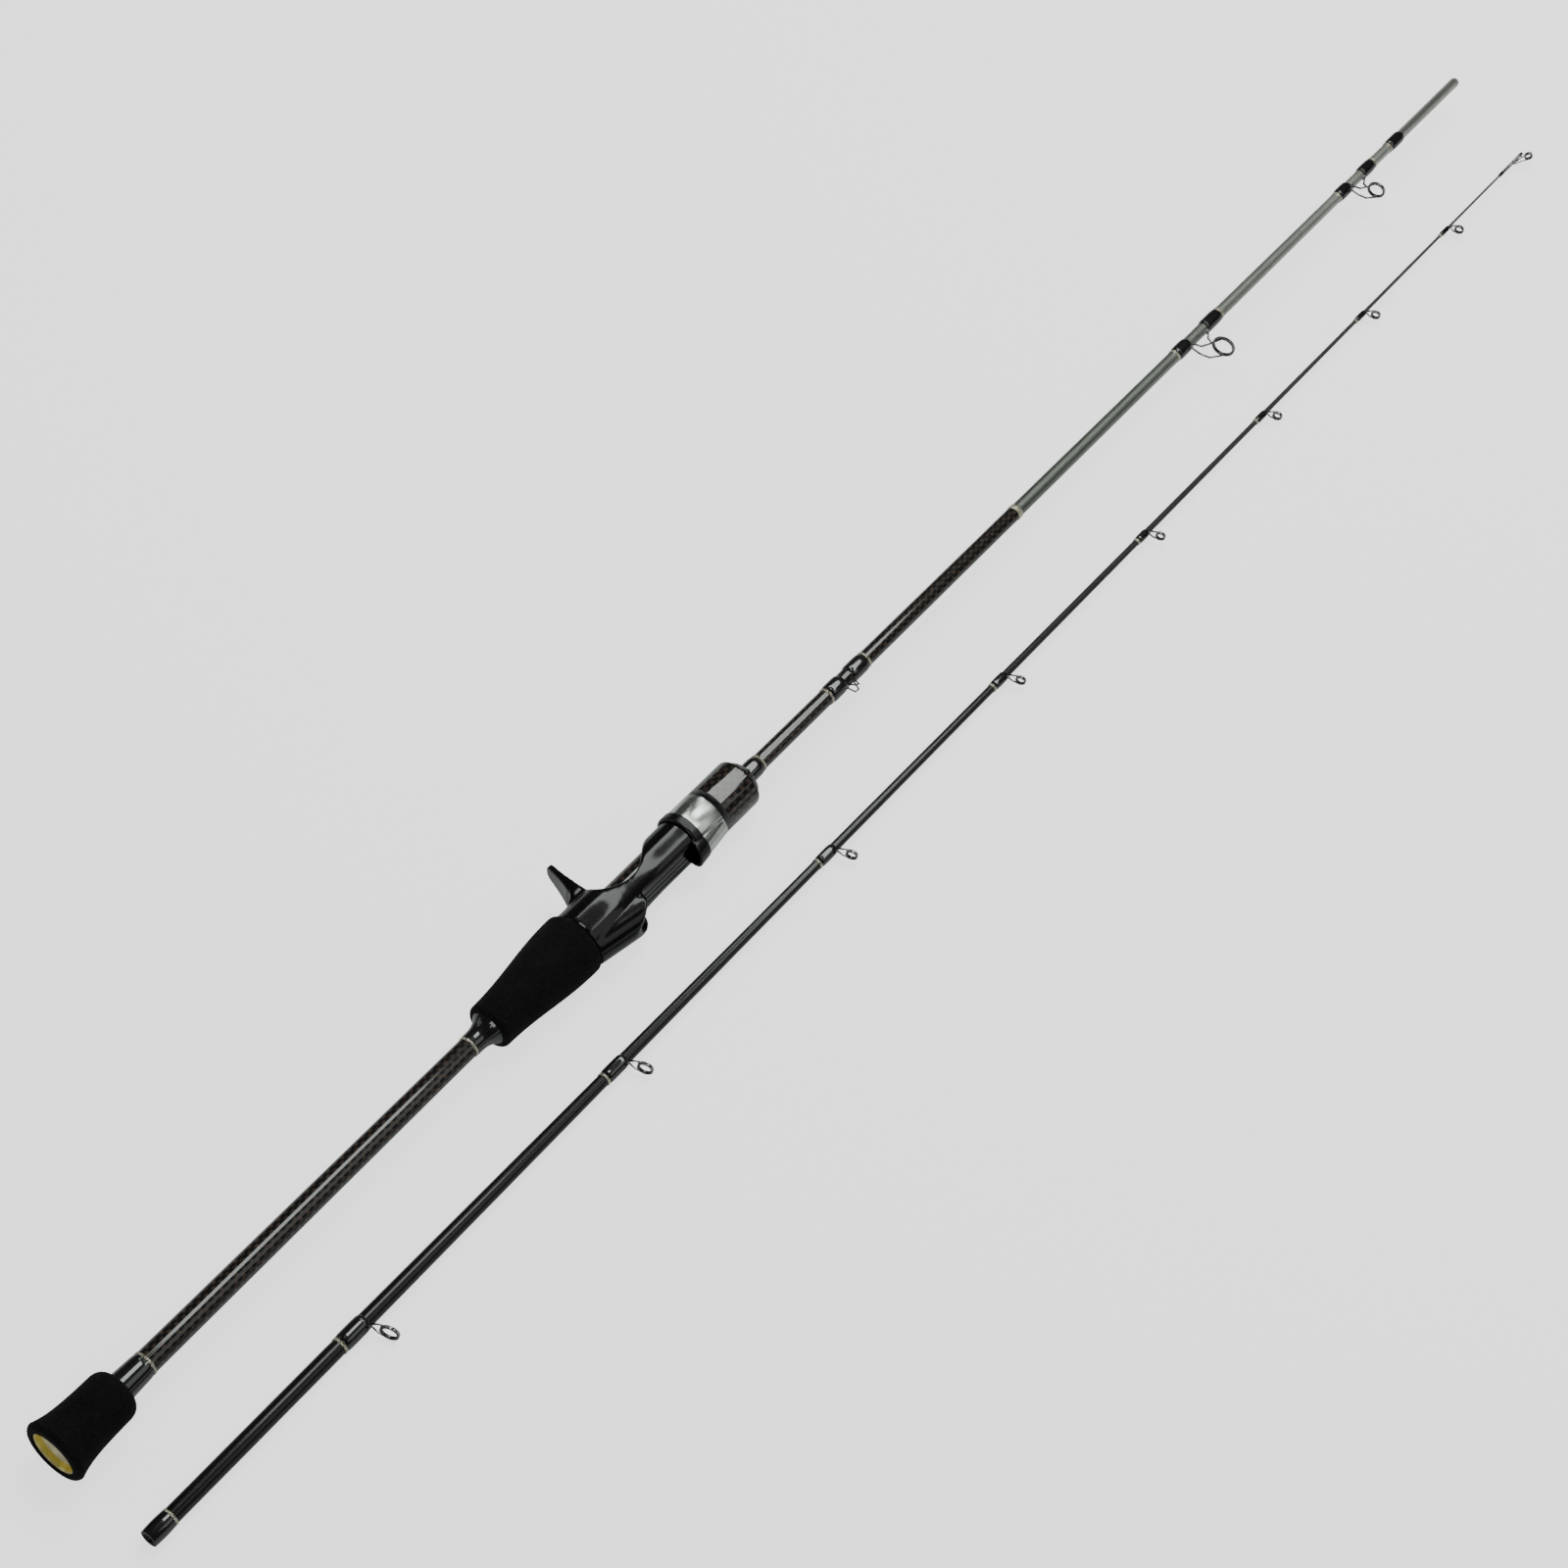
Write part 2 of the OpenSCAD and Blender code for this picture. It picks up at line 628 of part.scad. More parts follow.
// Polished metal band, drawn over the moulding and its bump
module hood_band() {
    liner_r = hood_bore_r + band_t;
    x1 = nut_x - slide_gap;
    color("#c9ccce") on_butt() difference() {
        union() {
            lathe([[0, band_x], [liner_r + band_t, band_x], [liner_r + band_t, x1 - 0.3],
                [liner_r + band_t - 0.3, x1], [0, x1]]);
            bump(bump_r, band_x, x1);
        }
        translate([band_x - 1, 0, 0]) rotate([0, 90, 0])
            cylinder(r = liner_r, h = band_len + 2, $fn = turned_fn);
        bump(bump_r - band_t, band_x - 1, x1 + 1);
    }
}

module lock_nut() {
    bore = thread_d / 2 + slide_gap;
    lip = 3;
    skin_t = 0.5;
    r = nut_d / 2;
    color("#0e0e10") on_butt() lathe([[bore, nut_x], [r - 0.3, nut_x], [r, nut_x + 0.3],
        [r, nut_x + lip], [r - skin_t, nut_x + lip], [r - skin_t, nut_end - 0.9],
        [r - skin_t - 0.9, nut_end], [bore, nut_end]]);
}

module lock_nut_weave() {
    lip = 3;
    skin_t = 0.5;
    r = nut_d / 2;
    round = 1.6;
    color(weave_dark) on_butt() lathe(concat(
        [[r - skin_t, nut_x + lip], [r, nut_x + lip]],
        [for (u = steps(5)) [r - skin_t * (1 - cos(90 * u)),
            nut_end - 0.9 - round + round * sin(90 * u)]]));
}

// Ring that closes the front of the seat round the blank
module seat_front_check() {
    x1 = seat_end + 2.4;
    color(epoxy_black) on_butt() lathe([[butt_skin(seat_end), seat_end], [9.4, seat_end],
        [9.4, seat_end + 1.2], [8.6, x1], [butt_skin(x1), x1]]);
}

module fore_winding() {
    x0 = seat_end + 2.4;
    x1 = x0 + fore_winding_len;
    color(epoxy_black) on_butt() winding(x0, x1, butt_skin(x0), butt_skin(x1), 0.65);
}

// Bent wire that holds a hook: two side loops from the rear foot, folded down to the fore foot
module hook_keeper() {
    r = 0.4;
    x0 = keeper_x + keeper_wrap;
    x1 = x0 + keeper_gap;
    base = butt_skin(x0) + r + 0.04;
    color("#9a9c9e") on_butt() {
        for (s = [-1, 1])
            wire([[x0 + 0.5, -base * cos(20), s * base * sin(20)],
                [x0 + 1.4, -base - 2.8, s * 2.3],
                [x0 + 3.2, -base - 3.3, s * 1.8],
                [x1 - 0.5, -base * cos(14), s * base * sin(14)]], r);
        keeper_feet();
    }
}

module keeper_feet(under = 0) {
    x0 = keeper_x + keeper_wrap;
    x1 = x0 + keeper_gap;
    foot(x0 - 7, x0 + 0.8, butt_skin(x0 - 7), butt_skin(x0 + 0.8), 3, under);
    mirror([1, 0, 0])
        foot(-x1 - 7, -x1 + 0.8, butt_skin(x1 + 7), butt_skin(x1 - 0.8), 2.4, under);
}

module keeper_windings() {
    x0 = keeper_x + trim_w;
    x1 = keeper_x + keeper_wrap;
    x2 = x1 + keeper_gap;
    x3 = x2 + keeper_wrap;
    color(epoxy_black) on_butt() difference() {
        union() {
            winding(x0, x1, butt_skin(x0), butt_skin(x1), 0.6);
            winding(x2, x3, butt_skin(x2), butt_skin(x3), 0.6);
        }
        keeper_feet(0.3);
    }
}

module weave_end_ring() {
    x0 = weave_end;
    x1 = x0 + 3.2;
    r0 = butt_r(x0);
    r1 = butt_r(x1);
    color("#a08b52") on_butt() lathe([[r0, x0], [r0 + 0.4, x0 + 0.2], [r1 + 0.4, x1 - 0.4], [r1, x1]]);
}

// Reach of each double-foot frame behind and ahead of its ring, and its winding lengths
guide_1_feet = [8.8, 3.2, 11, 13.4];
guide_2_feet = [6.2, 3.4, 10.4, 11.4];

module double_windings(x, feet) {
    xr = x - feet[0] - wire_big - 0.12;
    xf = x + feet[1] + wire_big + 0.12;
    x0 = xr - feet[2] + trim_w;
    x1 = xf + feet[3] - trim_w;
    winding(x0, xr, butt_skin(x0), butt_skin(xr), 0.6);
    winding(xf, x1, butt_skin(xf), butt_skin(x1), 0.6);
}

module guide_1_frame() {
    color(frame_grey) on_butt()
        double_frame(guide_1_x, guide_1_d, guide_1_rise, guide_1_feet);
}

module guide_1_ring() {
    color(ring_dark) on_butt()
        at_ring(guide_1_x, butt_skin(guide_1_x) + guide_1_rise, double_lean) ceramic(guide_1_d);
}

module guide_1_windings() {
    color(epoxy_black) on_butt() difference() {
        double_windings(guide_1_x, guide_1_feet);
        double_feet(guide_1_x, guide_1_feet, 0.3);
    }
}

module guide_2_frame() {
    color(frame_grey) on_butt()
        double_frame(guide_2_x, guide_2_d, guide_2_rise, guide_2_feet);
}

module guide_2_ring() {
    color(ring_dark) on_butt()
        at_ring(guide_2_x, butt_skin(guide_2_x) + guide_2_rise, double_lean) ceramic(guide_2_d);
}

module guide_2_windings() {
    color(epoxy_black) on_butt() difference() {
        double_windings(guide_2_x, guide_2_feet);
        double_feet(guide_2_x, guide_2_feet, 0.3);
    }
}

module stop_winding() {
    x0 = stop_x - stop_wrap + trim_w;
    color(epoxy_black) on_butt() winding(x0, stop_x, butt_skin(x0), butt_skin(stop_x), 0.55);
}

module spigot_plug() {
    r = spigot_d / 2;
    x = butt_len - r;
    bore = r - blank_wall;
    color("#8f908c") on_butt() lathe(concat([[0, x - 6], [bore, x - 6], [bore, x]],
        [for (u = steps(8)) [r * cos(90 * u), x + r * sin(90 * u)]]));
}

// Every metallic thread band of the butt section
module butt_trim_bands() {
    wind_end = butt_grip_len + butt_winding_len;
    check_start = check_face() - check_len - trim_w;
    fore_end = seat_end + 2.4 + fore_winding_len;
    g1 = guide_1_x - guide_1_feet[0] - wire_big - 0.12 - guide_1_feet[2];
    g1_end = guide_1_x + guide_1_feet[1] + wire_big + 0.12 + guide_1_feet[3] - trim_w;
    g2 = guide_2_x - guide_2_feet[0] - wire_big - 0.12 - guide_2_feet[2];
    g2_end = guide_2_x + guide_2_feet[1] + wire_big + 0.12 + guide_2_feet[3] - trim_w;
    color(trim_gold) on_butt()
        for (x = [wind_end, check_start, fore_end, keeper_x, keeper_end - trim_w,
                g1, g1_end, g2, g2_end, stop_x - stop_wrap])
            trim_band(x, butt_skin(x), butt_skin(x + trim_w));
}

// Hollow tapered tube: reamed socket, then a bore that fades out
module tip_blank() {
    socket_r = spigot_d / 2 + ferrule_gap;
    socket_len = spigot_len + socket_spare;
    core_r = socket_r - 0.2;
    hollow_x = fast_end_x + 0.4 * (tip_len - fast_end_x);
    end = tip_len - 2;
    color(blank_black) on_tip() lathe([[socket_r, 0], [tip_skin(0), 0],
        [tip_skin(shoulder_x), shoulder_x], [tip_skin(fast_end_x), fast_end_x],
        [tip_skin(end), end], [0, end], [0, hollow_x + 1], [0.3, hollow_x],
        [tip_skin(fast_end_x) - 1.1, fast_end_x], [core_r, shoulder_x],
        [core_r, socket_len + 0.5], [socket_r, socket_len]]);
}

module ferrule_winding() {
    x1 = ferrule_wrap - trim_w;
    s0 = tip_skin(0);
    s1 = tip_skin(x1);
    color(epoxy_black) on_tip() lathe(concat([[s0, 0]],
        [for (u = steps(12)) [s0 + (s1 - s0) * u + 0.1
            + (thread_t + 0.3) * pow(sin(180 * (0.04 + 0.88 * u)), 0.6) * 0.5, x1 * u]],
        [[s1, x1]]));
}

module tip_winding(i) {
    x1 = tip_wrap_end(i);
    x0 = x1 - tip_wrap(i) + trim_w;
    color(epoxy_black) on_tip() difference() {
        winding(x0, x1, tip_skin(x0), tip_skin(x1));
        tip_foot(i, 0.3);
    }
}

module tip_frame(i) {
    color(frame_grey) on_tip() single_frame(i);
}

module tip_ring(i) {
    color(ring_dark) on_tip()
        at_ring(tip_guide_x(i), tip_ring_h(i), single_lean) ceramic(tip_ring_d[i]);
}

module tip_trim_bands() {
    starts = concat([ferrule_wrap - trim_w], [for (i = [0 : 7]) tip_wrap_end(i) - tip_wrap(i)]);
    color(trim_gold) on_tip()
        for (x = starts) trim_band(x, tip_skin(x), tip_skin(x + trim_w));
}

// Tube over the blank's end, with a forward-leaning ring held by two stays and a neck
module tip_top_frame() {
    x0 = tip_len - tube_len;
    r0 = tip_skin(x0);
    end = tip_len - 2;
    out = r0 + tube_wall;
    rim = top_ring_d / 2 + 0.08;
    color(frame_grey) on_tip() {
        lathe([[r0, x0], [out, x0], [out, tip_len - 0.5], [out - 0.4, tip_len], [0, tip_len],
            [0, end], [r0, end]]);
        at_ring(tip_len, top_ring_a, top_lean) ring_band(top_ring_d);
        for (s = [-1, 1])
            wire([[tip_len - 9, -out - 0.1, s * 0.36], [tip_len - 4, -2.3, s * 1.3],
                on_ring(tip_len, top_ring_a, top_lean, s * rim, 0, -0.2)], 0.3);
        wire([[tip_len - 2.6, -out - 0.1, 0],
            on_ring(tip_len, top_ring_a, top_lean, 0, rim, 0)], 0.3);
    }
}

module tip_top_ring() {
    color(ring_dark) on_tip() at_ring(tip_len, top_ring_a, top_lean) ceramic(top_ring_d);
}

module tip_top_winding() {
    x1 = tip_len - tube_len;
    x0 = x1 - top_winding_len;
    color(epoxy_black) on_tip() winding(x0, x1, tip_skin(x0), tip_skin(x1), 0.35);
}

butt_end_cap();
butt_grip();
butt_winding();
butt_blank();
carbon_weave_sleeve();
rear_grip_check();
rear_grip();
seat_arbors();
seat_core_tube();
reel_seat();
hood_moulding();
hood_band();
lock_nut();
lock_nut_weave();
seat_front_check();
fore_winding();
hook_keeper();
keeper_windings();
weave_end_ring();
guide_1_frame();
guide_1_ring();
guide_1_windings();
guide_2_frame();
guide_2_ring();
guide_2_windings();
stop_winding();
spigot_plug();
butt_trim_bands();
tip_blank();
ferrule_winding();
tip_trim_bands();
for (i = [0 : 7]) {
    tip_frame(i);
    tip_ring(i);
    tip_winding(i);
}
tip_top_frame();
tip_top_ring();
tip_top_winding();
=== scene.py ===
import json
import math

import bpy
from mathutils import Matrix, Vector

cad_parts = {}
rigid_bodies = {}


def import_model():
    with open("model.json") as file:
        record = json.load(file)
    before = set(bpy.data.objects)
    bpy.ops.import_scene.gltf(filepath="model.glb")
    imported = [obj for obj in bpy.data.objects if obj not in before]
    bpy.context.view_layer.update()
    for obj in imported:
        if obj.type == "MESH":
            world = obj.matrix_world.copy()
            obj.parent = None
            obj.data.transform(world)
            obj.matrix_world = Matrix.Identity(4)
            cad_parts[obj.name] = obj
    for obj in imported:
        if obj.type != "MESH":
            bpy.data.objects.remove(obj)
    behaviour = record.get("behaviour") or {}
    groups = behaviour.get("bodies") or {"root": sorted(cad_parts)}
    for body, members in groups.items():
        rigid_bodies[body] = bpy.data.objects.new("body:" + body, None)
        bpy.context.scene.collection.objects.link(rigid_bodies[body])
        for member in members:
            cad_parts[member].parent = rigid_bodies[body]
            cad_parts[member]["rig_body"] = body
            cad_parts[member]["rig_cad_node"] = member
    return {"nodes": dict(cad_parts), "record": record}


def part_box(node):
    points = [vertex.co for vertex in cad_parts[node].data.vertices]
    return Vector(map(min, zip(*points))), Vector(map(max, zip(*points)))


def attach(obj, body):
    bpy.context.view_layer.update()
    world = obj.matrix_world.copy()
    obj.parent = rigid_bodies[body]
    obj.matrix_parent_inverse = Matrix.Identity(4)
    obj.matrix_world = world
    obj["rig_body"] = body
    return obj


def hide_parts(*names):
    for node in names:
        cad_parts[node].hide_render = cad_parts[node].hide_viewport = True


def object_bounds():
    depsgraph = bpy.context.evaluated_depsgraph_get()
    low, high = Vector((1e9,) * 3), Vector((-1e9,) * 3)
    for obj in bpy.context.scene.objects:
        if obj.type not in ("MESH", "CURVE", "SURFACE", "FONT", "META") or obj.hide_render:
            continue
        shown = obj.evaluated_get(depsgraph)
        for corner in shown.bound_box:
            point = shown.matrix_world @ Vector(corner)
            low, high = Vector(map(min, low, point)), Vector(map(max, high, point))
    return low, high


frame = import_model()
cad_low, cad_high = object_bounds()


# ---------------------------------------------------------------- Camera
# A long lens looks down past the butt cap, so that both sections run away to the
# upper right. The object's box gives the place of the butt end.
butt_end = Vector((cad_low.x, 0.0, cad_low.z))
eye = butt_end + Vector((-0.469, -0.7117, 1.435))
look_down = math.radians(51.0)
heading = math.radians(-51.8)
bpy.ops.object.camera_add(location=eye, rotation=(math.pi / 2 - look_down, 0, heading))
camera = bpy.context.object
camera.data.lens = 96.75
camera.data.sensor_width = 36
camera.data.clip_end = 20
bpy.context.scene.camera = camera


# ---------------------------------------------------------------- Floor and light
# A plain pale sweep and five soft boxes: two strips over the rod, which the gloss blacks
# show as a long soft streak, and three weak fills. The floor glows a little to the eye.
def deselect():
    if bpy.context.object and bpy.context.object.mode != "OBJECT":
        bpy.ops.object.mode_set(mode="OBJECT")
    bpy.ops.object.select_all(action="DESELECT")


deselect()
bpy.ops.mesh.primitive_plane_add(size=14, location=(0, 0, cad_low.z - 0.0004))
floor = bpy.context.object
floor.name = "floor"
floor_paint = bpy.data.materials.new("floor_paint")
floor_paint.use_nodes = True
floor_shader = floor_paint.node_tree.nodes["Principled BSDF"]
floor_shader.inputs["Base Color"].default_value = (0.86, 0.86, 0.87, 1)
floor_shader.inputs["Roughness"].default_value = 0.9
floor_shader.inputs["Specular IOR Level"].default_value = 0.1
floor_shader.inputs["Emission Color"].default_value = (1, 1, 1, 1)
floor_tree = floor_paint.node_tree
seen = floor_tree.nodes.new("ShaderNodeLightPath")
glow = floor_tree.nodes.new("ShaderNodeMath")
glow.operation = "MULTIPLY_ADD"
glow.inputs[1].default_value = 1.5
glow.inputs[2].default_value = 0.05
floor_tree.links.new(seen.outputs["Is Camera Ray"], glow.inputs[0])
floor_tree.links.new(glow.outputs[0], floor_shader.inputs["Emission Strength"])
floor.data.materials.append(floor_paint)

sky = bpy.data.worlds.new("studio")
sky.use_nodes = True
sky.node_tree.nodes["Background"].inputs["Color"].default_value = (1, 1, 1, 1)
sky.node_tree.nodes["Background"].inputs["Strength"].default_value = 0.05
bpy.context.scene.world = sky


def soft_box(name, place, target, wide, long, watts):
    aim = (Vector(target) - Vector(place)).to_track_quat("-Z", "X").to_euler()
    bpy.ops.object.light_add(type="AREA", location=place, rotation=aim)
    box = bpy.context.object
    box.name = name
    box.data.shape = "RECTANGLE"
    box.data.size = wide
    box.data.size_y = long
    box.data.energy = watts
    box.data.color = (0.95, 1.0, 0.965)


soft_box("streak_box", (0.85, 0.05, 1.5), (0.85, 0.05, 0), 0.3, 2.3, 13)
soft_box("grip_box", (0.2, 0.05, 1.45), (0.2, 0.05, 0), 0.3, 0.7, 4)
soft_box("back_box", (-0.9, 2.2, 1.5), (0, 0, 0), 1.8, 1.2, 4)
soft_box("front_box", (0.8, -2.0, 1.6), (0, 0, 0), 1.5, 1.1, 4)
soft_box("butt_box", (-2.2, -0.6, 1.0), (-0.3, 0, 0), 0.9, 0.9, 7)


# ---------------------------------------------------------------- Foam grips
# Both grips are turned from closed-cell foam and sanded: matt near-black with fine pores.
def new_group(name, inputs, outputs):
    tree = bpy.data.node_groups.new(name, "ShaderNodeTree")
    for label, value in inputs:
        kind = "NodeSocketVector" if label == "Place" else "NodeSocketFloat"
        socket = tree.interface.new_socket(name=label, in_out="INPUT", socket_type=kind)
        if value is not None:
            socket.default_value = value
    for label in outputs:
        tree.interface.new_socket(name=label, in_out="OUTPUT", socket_type="NodeSocketFloat")
    return tree, tree.nodes.new("NodeGroupInput"), tree.nodes.new("NodeGroupOutput")


def feed(tree, socket, value):
    if isinstance(value, bpy.types.NodeSocket):
        tree.links.new(value, socket)
    elif value is not None:
        socket.default_value = value


def add(tree, kind, sockets=(), **settings):
    made = tree.nodes.new(kind)
    for key, value in settings.items():
        setattr(made, key, value)
    for key, value in dict(sockets).items():
        feed(tree, made.inputs[key], value)
    return made


def sums(tree, operation, a, b=None, c=None):
    made = add(tree, "ShaderNodeMath", operation=operation)
    for socket, value in zip(made.inputs, (a, b, c)):
        feed(tree, socket, value)
    return made.outputs[0]


def ramp(tree, factor, *stops):
    made = add(tree, "ShaderNodeValToRGB", {"Fac": factor})
    elements = made.color_ramp.elements
    while len(elements) < len(stops):
        elements.new(0.5)
    for element, (place, colour) in zip(elements, stops):
        element.position = place
        element.color = (*colour, 1) if len(colour) == 3 else colour
    return made.outputs["Color"]


def grey(value):
    return (value, value, value)


# Handled surface: broad smears and fine specks that change gloss a little.
handled, given, out = new_group("handled", (("Place", None), ("Smear size", 40.0)), ("Smear", "Speck"))
smear = add(handled, "ShaderNodeTexNoise",
            {"Vector": given.outputs["Place"], "Scale": given.outputs["Smear size"], "Detail": 4.0,
             "Roughness": 0.62})
speck = add(handled, "ShaderNodeTexNoise",
            {"Vector": given.outputs["Place"], "Scale": 2600.0, "Detail": 2.0, "Roughness": 0.5})
feed(handled, out.inputs["Smear"], smear.outputs[0])
feed(handled, out.inputs["Speck"], speck.outputs[0])


def finish_of(name):
    material = bpy.data.materials.new(name)
    material.use_nodes = True
    tree = material.node_tree
    shader = tree.nodes["Principled BSDF"]
    place = add(tree, "ShaderNodeTexCoord").outputs["Object"]
    return material, tree, shader, place


def handling(tree, place, size=40.0):
    made = add(tree, "ShaderNodeGroup", node_tree=handled)
    feed(tree, made.inputs["Place"], place)
    feed(tree, made.inputs["Smear size"], size)
    return made.outputs


def gloss_range(tree, shader, factor, low, high):
    spread = add(tree, "ShaderNodeMapRange", {"Value": factor, "From Min": 0.3, "From Max": 0.7,
                                              "To Min": low, "To Max": high})
    feed(tree, shader.inputs["Roughness"], spread.outputs[0])


def relief(tree, shader, height, depth, strength=1.0):
    bump = add(tree, "ShaderNodeBump", {"Height": height, "Strength": strength, "Distance": depth})
    feed(tree, shader.inputs["Normal"], bump.outputs[0])


def body_of(node):
    return next(b for b, members in frame["record"]["behaviour"]["bodies"].items() if node in members)


# A turned or bent piece whose CAD shape is already right gets a joined-up copy with a
# smooth surface, its sharp edges kept.
def finished(node, material, crease=38):
    deselect()
    cad = frame["nodes"][node]
    cad.select_set(True)
    bpy.context.view_layer.objects.active = cad
    bpy.ops.object.duplicate(linked=False)
    piece = bpy.context.object
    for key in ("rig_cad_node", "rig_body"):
        if key in piece:
            del piece[key]
    piece.parent = None
    piece.name = node + "_piece"
    bpy.ops.object.mode_set(mode="EDIT")
    bpy.ops.mesh.select_all(action="SELECT")
    bpy.ops.mesh.remove_doubles(threshold=1e-6)
    bpy.ops.object.mode_set(mode="OBJECT")
    bpy.ops.object.shade_smooth_by_angle(angle=math.radians(crease))
    piece.data.materials.clear()
    piece.data.materials.append(material)
    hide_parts(node)
    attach(piece, body_of(node))
    return piece


foam, tree, shader, place = finish_of("sanded_foam")
pores = add(tree, "ShaderNodeTexVoronoi", {"Vector": place, "Scale": 1500.0, "Randomness": 1.0})
dust = handling(tree, place, 70.0)
mottle = add(tree, "ShaderNodeTexNoise", {"Vector": place, "Scale": 900.0, "Detail": 3.0})
tone = ramp(tree, mottle.outputs[0], (0.3, grey(0.004)), (0.55, grey(0.007)), (0.75, grey(0.014)))
feed(tree, shader.inputs["Base Color"], tone)
gloss_range(tree, shader, dust["Smear"], 0.72, 0.9)
shader.inputs["Specular IOR Level"].default_value = 0.18
relief(tree, shader, sums(tree, "ADD", pores.outputs["Distance"], mottle.outputs[0]), 0.00022, 0.75)

finished("butt_grip", foam, 50)
finished("rear_grip", foam, 50)


# ---------------------------------------------------------------- End cap
# A dished aluminium plug in the butt, gold anodised: pale bright rim, deep wall, and a
# floor faced on the lathe, which leaves fine rings.
# The axes of the two sections, from the middle of each blank.
butt_axis = (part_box("butt_blank")[0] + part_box("butt_blank")[1]) / 2
tip_axis = (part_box("tip_blank")[0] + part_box("tip_blank")[1]) / 2

# Round-the-rod place: turns about an axis parallel to X, and the distance from it.
round_rod, given, out = new_group(
    "round_the_rod", (("Place", None), ("Axis Y", 0.0), ("Axis Z", 0.0)), ("Along", "Turn", "Radius"))
split = add(round_rod, "ShaderNodeSeparateXYZ", {0: given.outputs["Place"]})
off_y = sums(round_rod, "SUBTRACT", split.outputs["Y"], given.outputs["Axis Y"])
off_z = sums(round_rod, "SUBTRACT", split.outputs["Z"], given.outputs["Axis Z"])
angle = sums(round_rod, "ARCTAN2", off_z, off_y)
square = sums(round_rod, "ADD", sums(round_rod, "MULTIPLY", off_y, off_y),
              sums(round_rod, "MULTIPLY", off_z, off_z))
feed(round_rod, out.inputs["Along"], split.outputs["X"])
feed(round_rod, out.inputs["Turn"], sums(round_rod, "DIVIDE", angle, math.tau))
feed(round_rod, out.inputs["Radius"], sums(round_rod, "SQRT", square))


def about(tree, place, axis):
    made = add(tree, "ShaderNodeGroup", node_tree=round_rod)
    feed(tree, made.inputs["Place"], place)
    feed(tree, made.inputs["Axis Y"], axis.y)
    feed(tree, made.inputs["Axis Z"], axis.z)
    return made.outputs


cap_gold, tree, shader, place = finish_of("gold_anodised")
ring = about(tree, place, butt_axis)
wear = handling(tree, place, 120.0)
cut = sums(tree, "SINE", sums(tree, "MULTIPLY", ring["Radius"], math.tau / 0.00042))
depth_in = sums(tree, "SUBTRACT", ring["Along"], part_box("butt_end_cap")[0].x)
into = add(tree, "ShaderNodeMapRange", {"Value": depth_in, "From Min": 0.0004, "From Max": 0.0034})
wall_gold = ramp(tree, into.outputs[0], (0.0, (1.0, 0.9, 0.42)), (0.14, (1.0, 0.84, 0.12)),
                 (0.75, (0.95, 0.76, 0.07)), (0.93, (1.0, 0.95, 0.74)))
streak = add(tree, "ShaderNodeMix", {0: sums(tree, "MULTIPLY", wear["Smear"], 0.25),
                                     6: wall_gold, 7: (0.98, 0.93, 0.78, 1)}, data_type="RGBA")
feed(tree, shader.inputs["Base Color"], streak.outputs[2])
shader.inputs["Metallic"].default_value = 0.5
gloss_range(tree, shader, wear["Smear"], 0.28, 0.4)
relief(tree, shader, cut, 0.00003, 0.4)
finished("butt_end_cap", cap_gold, 30)


# ---------------------------------------------------------------- Blanks
# Rolled carbon tubes. The butt tube carries a woven sleeve up to the guides, all under a
# gloss coat; ahead of it the tube is a satin grey that pales towards the spigot.
def carbon_tube(name, axis, stops, gloss, coat, tape_show, metal):
    material, tree, shader, place = finish_of(name)
    rod = about(tree, place, axis)
    wear = handling(tree, place, 30.0)
    low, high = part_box("butt_blank") if axis is butt_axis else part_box("tip_blank")
    share = add(tree, "ShaderNodeMapRange", {"Value": rod["Along"], "From Min": low.x, "From Max": high.x})
    tone = ramp(tree, share.outputs[0], *stops)
    tape = sums(tree, "SINE", sums(tree, "ADD", sums(tree, "MULTIPLY", rod["Along"], math.tau / 0.0016),
                                   sums(tree, "MULTIPLY", rod["Turn"], math.tau)))
    lifted = add(tree, "ShaderNodeMix", {0: sums(tree, "MULTIPLY", sums(tree, "ADD", tape, 1.0), tape_show),
                                         6: tone, 7: (0.4, 0.4, 0.38, 1)}, data_type="RGBA")
    feed(tree, shader.inputs["Base Color"], lifted.outputs[2])
    shader.inputs["Metallic"].default_value = metal
    shader.inputs["Specular IOR Level"].default_value = 0.3
    gloss_range(tree, shader, wear["Smear"], gloss - 0.05, gloss + 0.09)
    past_end = add(tree, "ShaderNodeMapRange", {"Value": rod["Along"], "From Min": low.x + 0.0002,
                                                "From Max": low.x + 0.0006, "To Min": 0.0, "To Max": coat})
    feed(tree, shader.inputs["Coat Weight"], past_end.outputs[0])
    shader.inputs["Coat Roughness"].default_value = 0.08
    relief(tree, shader, wear["Speck"], 0.00003, 0.3)
    return material


butt_carbon = carbon_tube(
    "butt_carbon", butt_axis,
    ((0.0, grey(0.03)), (0.5, (0.1, 0.11, 0.1)), (0.72, (0.26, 0.28, 0.25)),
     (0.88, (0.52, 0.54, 0.49)), (1.0, (0.7, 0.7, 0.63))),
    0.36, 0.35, 0.012, 0.8)
tip_carbon = carbon_tube(
    "tip_carbon", tip_axis,
    ((0.0, grey(0.006)), (0.25, grey(0.008)), (0.55, grey(0.02)), (0.85, grey(0.085)), (1.0, grey(0.14))),
    0.3, 0.45, 0.001, 0.0)
finished("butt_blank", butt_carbon)
finished("tip_blank", tip_carbon)

plug_paint, tree, shader, place = finish_of("plug_resin")
wear = handling(tree, place, 200.0)
feed(tree, shader.inputs["Base Color"], ramp(tree, wear["Smear"], (0.3, grey(0.26)), (0.7, grey(0.36))))
gloss_range(tree, shader, wear["Smear"], 0.35, 0.5)
finished("spigot_plug", plug_paint)


